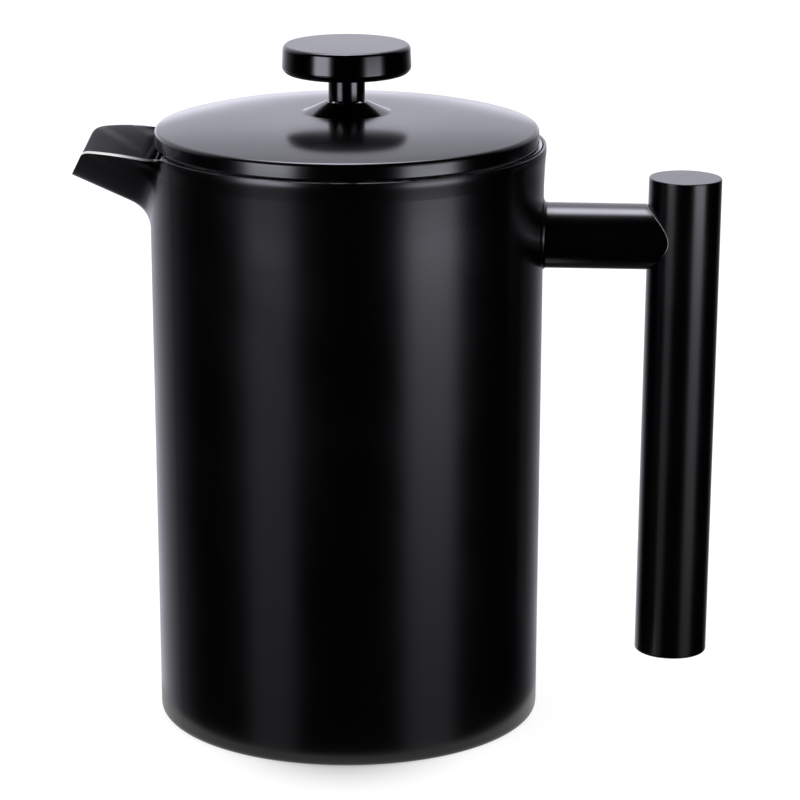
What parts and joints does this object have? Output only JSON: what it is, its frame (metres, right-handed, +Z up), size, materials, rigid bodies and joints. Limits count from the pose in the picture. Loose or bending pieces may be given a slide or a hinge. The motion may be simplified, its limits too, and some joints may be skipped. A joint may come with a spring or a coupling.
{
  "type": "french press",
  "caption": "Tall double-wall steel press pot with a V spout, a straight bar handle, a flat lift-off lid and a sliding plunger with a disc knob and filter plates.",
  "frame": {"origin": "centre of the flat face the pot stands on, on the pot's axis", "axes": "+Z up along the pot's and the plunger's axis, +X towards the handle, -X towards the spout"},
  "size_m": [0.1781, 0.1096, 0.1888],
  "materials": {
    "black_coat": "satin black coating",
    "liner_steel": "brushed",
    "bright_steel": "polished",
    "filter_steel": "bright rolled sheet",
    "filter_mesh": "fine woven wire"
  },
  "bodies": {
    "pot": {"outer_shell": "black_coat", "spout": "black_coat", "inner_liner": "liner_steel", "base_plate": "black_coat", "handle_backing_plate": "liner_steel", "handle_tenon": "liner_steel", "handle_arm": "black_coat", "handle_grip": "black_coat", "grip_cap_top": "black_coat", "grip_cap_bottom": "black_coat"},
    "lid_bush": {"rod_bush": "bright_steel"},
    "lid": {"lid_cover": "black_coat", "lid_pan": "liner_steel", "lid_skirt": "liner_steel", "bush_nut": "bright_steel"},
    "plunger_neck": {"knob_neck": "black_coat"},
    "plunger": {"knob": "black_coat", "plunger_rod": "bright_steel", "rod_nut": "bright_steel", "spiral_plate": "filter_steel", "edge_spring": "bright_steel", "mesh_screen": "filter_mesh", "cross_plate": "filter_steel"}
  },
  "joints": [
    {"name": "lid_lift", "type": "slide", "parent": "pot", "child": "lid_bush", "axis": [0, 0, 1], "range_m": [0, 0.165]},
    {"name": "lid_turn", "type": "hinge", "parent": "lid_bush", "child": "lid", "pos_m": [0, 0, 0.1635], "axis": [0, 0, 1], "continuous": true},
    {"name": "plunger_slide", "type": "slide", "parent": "lid_bush", "child": "plunger_neck", "axis": [0, 0, 1], "range_m": [0, 0.125]},
    {"name": "plunger_spin", "type": "hinge", "parent": "plunger_neck", "child": "plunger", "pos_m": [0, 0, 0.1848], "axis": [0, 0, 1], "continuous": true}
  ]
}
